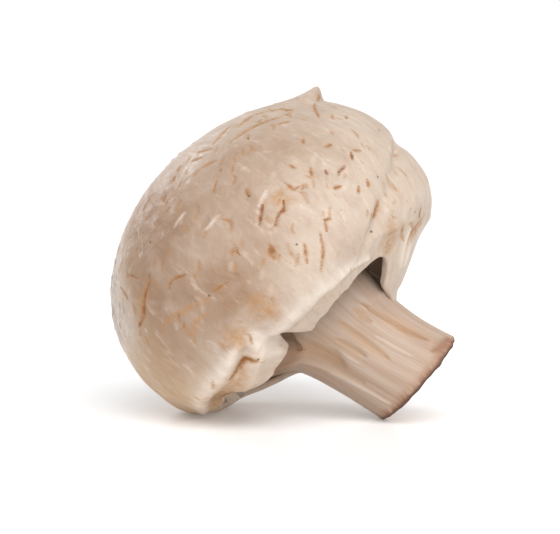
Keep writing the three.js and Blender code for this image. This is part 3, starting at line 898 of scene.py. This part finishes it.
def addLights():
    for name, look in studio["lamps"].items():
        light = bpy.data.lights.new(name, "SUN")
        light.energy, light.angle, light.color = look["power"], math.radians(look["spread"]), look["colour"]
        lamp = addPiece(name, light)
        lamp.location = look["place"]
        way = Vector(studio["lampAim"]) - Vector(look["place"])
        lamp.rotation_euler = way.to_track_quat("-Z", "Y").to_euler()


def addWorld():
    world = bpy.data.worlds.new("studio")
    bpy.context.scene.world = world
    world.use_nodes = True
    tree = world.node_tree
    shader = tree.nodes["Background"]
    diffuse = addNode(tree, "ShaderNodeLightPath").outputs["Is Diffuse Ray"]
    glow = ramped(tree, diffuse, 0, 1, 1.0, studio["worldGlow"])
    shader.inputs["Color"].default_value = (1, 1, 1, 1)
    tree.links.new(glow, shader.inputs["Strength"])


def addCamera():
    turn, rise = math.radians(studio["azimuth"]), math.radians(studio["elevation"])
    towards = Vector((math.sin(turn) * math.cos(rise), -math.cos(turn) * math.cos(rise), math.sin(rise)))
    right = Vector((math.cos(turn), math.sin(turn), 0))
    up = right.cross(-towards)
    aim = Vector(middle * mm) + right * studio["aimRight"] + up * studio["aimUp"]
    data = bpy.data.cameras.new("camera")
    data.lens, data.sensor_width = studio["lens"], studio["filmWidth"]
    data.clip_start, data.clip_end = 0.01, 20
    camera = addPiece("camera", data)
    camera.location = aim + towards * studio["distance"]
    camera.rotation_euler = Matrix((right, up, towards)).transposed().to_euler()
    bpy.context.scene.camera = camera


def newTree(name, sizes):
    # an empty tree that takes a mesh and a number for each size; closeTree joins its last lines
    tree = bpy.data.node_groups.new(name, "GeometryNodeTree")
    tree.interface.new_socket("Geometry", in_out="OUTPUT", socket_type="NodeSocketGeometry")
    tree.interface.new_socket("Geometry", in_out="INPUT", socket_type="NodeSocketGeometry")
    for label, value in sizes.items():
        kind = "NodeSocketInt" if isinstance(value, int) else "NodeSocketFloat"
        tree.interface.new_socket(label, in_out="INPUT", socket_type=kind).default_value = value
    return tree, addNode(tree, "NodeGroupInput").outputs


def closeTree(tree, geometry, material):
    real = addNode(tree, "GeometryNodeRealizeInstances", {"Geometry": geometry}).outputs[0]
    coated = addNode(tree, "GeometryNodeSetMaterial", {"Geometry": real, "Material": material}).outputs[0]
    addNode(tree, "NodeGroupOutput", {"Geometry": coated})


def namedValue(tree, name, kind):
    return addNode(tree, "GeometryNodeInputNamedAttribute", {"Name": name}, data_type=kind).outputs[0]


def randomValue(tree, low, high, seed):
    inputs = {2: low, 3: high, "Seed": seed}
    return addNode(tree, "FunctionNodeRandomValue", inputs, data_type="FLOAT").outputs[1]


def grow(name, host, tree, sizes):
    # runs the tree on the host and keeps the result as a plain mesh
    modifier = host.modifiers.new(name, "NODES")
    modifier.node_group = tree
    for item in tree.interface.items_tree:
        if item.in_out == "INPUT" and item.name in sizes:
            modifier[item.identifier] = sizes[item.name]
    result = host.evaluated_get(bpy.context.evaluated_depsgraph_get())
    mesh = bpy.data.meshes.new_from_object(result)
    host.modifiers.remove(modifier)
    mesh.name = name
    return addPiece(name, mesh)


# loose scales of skin: how many to a square metre where the skin is loosest, and one scale's millimetres
scales = {"Per Area": 800000.0, "Length": 1.3, "Width": 0.42, "Thickness": 0.07, "Spread": 0.35, "Seed": 11}


def growScales():
    tree, given = newTree("skinScales", scales)
    loose = namedValue(tree, "flaky", "FLOAT")
    density = times(tree, maths(tree, "POWER", loose, 2.0), given["Per Area"])
    spots = addNode(tree, "GeometryNodeDistributePointsOnFaces",
                    {"Mesh": given["Geometry"], "Density": density, "Seed": given["Seed"]})
    flat = addNode(tree, "FunctionNodeAlignRotationToVector", {"Vector": spots.outputs["Normal"]}, axis="Z")
    lying = addNode(tree, "FunctionNodeAlignRotationToVector",
                    {"Rotation": flat.outputs[0], "Vector": namedValue(tree, "downhill", "FLOAT_VECTOR")},
                    axis="X", pivot_axis="Z")
    ball = addNode(tree, "GeometryNodeMeshUVSphere", {"Segments": 8, "Rings": 4, "Radius": 0.5 * mm})
    sides = {0: given["Length"], 1: given["Width"], 2: given["Thickness"]}
    size = addNode(tree, "ShaderNodeCombineXYZ", sides).outputs[0]
    shape = addNode(tree, "GeometryNodeTransform", {"Geometry": ball.outputs[0], "Scale": size}).outputs[0]
    vary = randomValue(tree, 0.5, 1.5, given["Seed"])
    placed = addNode(tree, "GeometryNodeInstanceOnPoints", {
        "Points": spots.outputs["Points"], "Instance": shape, "Rotation": lying.outputs[0],
        "Scale": vary}).outputs[0]
    turn = randomValue(tree, times(tree, given["Spread"], -1.0), given["Spread"], 5)
    skew = addNode(tree, "ShaderNodeCombineXYZ", {2: turn}).outputs[0]
    turned = addNode(tree, "GeometryNodeRotateInstances", {"Instances": placed, "Rotation": skew}).outputs[0]
    material = plainFleshMaterial("looseScale", tone(206, 194, 186), tone(184, 162, 146), 900, 0.5)
    closeTree(tree, turned, material)
    piece = grow("skinScales", capPiece, tree, scales)
    piece.data.shade_smooth()
    return piece


# the gills, in millimetres: thin blades that stand round the stem inside the cap
gills = {
    "Count": 150, "Inner Radius": 9.0, "Outer Radius": 19.6, "Roof": -1.0, "Edge": 7.4, "Thickness": 0.28,
    "Waver": 0.5, "Seed": 3,
}


def growGills():
    tree, given = newTree("gillBlades", gills)
    reach = maths(tree, "SUBTRACT", given["Outer Radius"], given["Inner Radius"])
    depth = maths(tree, "SUBTRACT", given["Edge"], given["Roof"])
    box = addNode(tree, "ShaderNodeCombineXYZ", {0: reach, 1: depth, 2: given["Thickness"]}).outputs[0]
    slab = addNode(tree, "GeometryNodeMeshCube",
                   {"Size": box, "Vertices X": 7, "Vertices Y": 3, "Vertices Z": 2}).outputs[0]
    across = times(tree, maths(tree, "ADD", given["Inner Radius"], given["Outer Radius"]), 0.5)
    down = times(tree, maths(tree, "ADD", given["Edge"], given["Roof"]), 0.5)
    outwards = addNode(tree, "ShaderNodeCombineXYZ", {0: across, 1: down}).outputs[0]
    blade = addNode(tree, "GeometryNodeTransform", {"Geometry": slab, "Translation": outwards}).outputs[0]
    spots = addNode(tree, "GeometryNodePoints", {"Count": given["Count"]}).outputs[0]
    index = addNode(tree, "GeometryNodeInputIndex").outputs[0]
    step = maths(tree, "DIVIDE", math.tau, given["Count"])
    jitter = randomValue(tree, -0.3, 0.3, given["Seed"])
    turn = times(tree, maths(tree, "ADD", index, jitter), step)
    facing = addNode(tree, "ShaderNodeCombineXYZ", {1: turn}).outputs[0]
    placed = addNode(tree, "GeometryNodeInstanceOnPoints",
                     {"Points": spots, "Instance": blade, "Rotation": facing}).outputs[0]
    real = addNode(tree, "GeometryNodeRealizeInstances", {"Geometry": placed}).outputs[0]
    # each blade wavers a little from side to side
    here = addNode(tree, "GeometryNodeInputPosition").outputs[0]
    wave = addNode(tree, "ShaderNodeTexNoise", {"Vector": here, "Scale": 0.35, "Detail": 1}).outputs["Color"]
    centred = addNode(tree, "ShaderNodeVectorMath", {0: wave, 1: (0.5, 0.5, 0.5)}, operation="SUBTRACT")
    waver = {0: centred.outputs[0], "Scale": given["Waver"]}
    push = addNode(tree, "ShaderNodeVectorMath", waver, operation="SCALE").outputs[0]
    waved = addNode(tree, "GeometryNodeSetPosition", {"Geometry": real, "Offset": push}).outputs[0]
    material = plainFleshMaterial("gillFlesh", tone(190, 150, 122), tone(150, 108, 82), 500, 0.55)
    closeTree(tree, waved, material)
    host = addPiece("gillHost", bpy.data.meshes.new("gillHost"))
    piece = grow("gillBlades", host, tree, gills)
    bpy.data.objects.remove(host)
    points = np.array([v.co for v in piece.data.vertices])
    piece.data.vertices.foreach_set("co", toWorld(points).ravel())
    piece.data.update()
    return piece


capPiece.data.materials.append(capSkinMaterial())
stemPiece.data.materials.append(stemMaterial())
scalePiece = growScales()
print("skin scales:", len(scalePiece.data.polygons), "faces")
gillPiece = growGills()
print("gills:", len(gillPiece.data.polygons), "faces")
addFloor()
addWorld()
addLights()
addCamera()
print("studio: floor, lamps and camera are set")
bpy.context.scene.view_settings.view_transform = "Standard"

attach(capPiece, "root")
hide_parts("cap")
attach(stemPiece, "root")
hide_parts("stem")
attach(scalePiece, "root")
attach(gillPiece, "root")
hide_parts("gills")
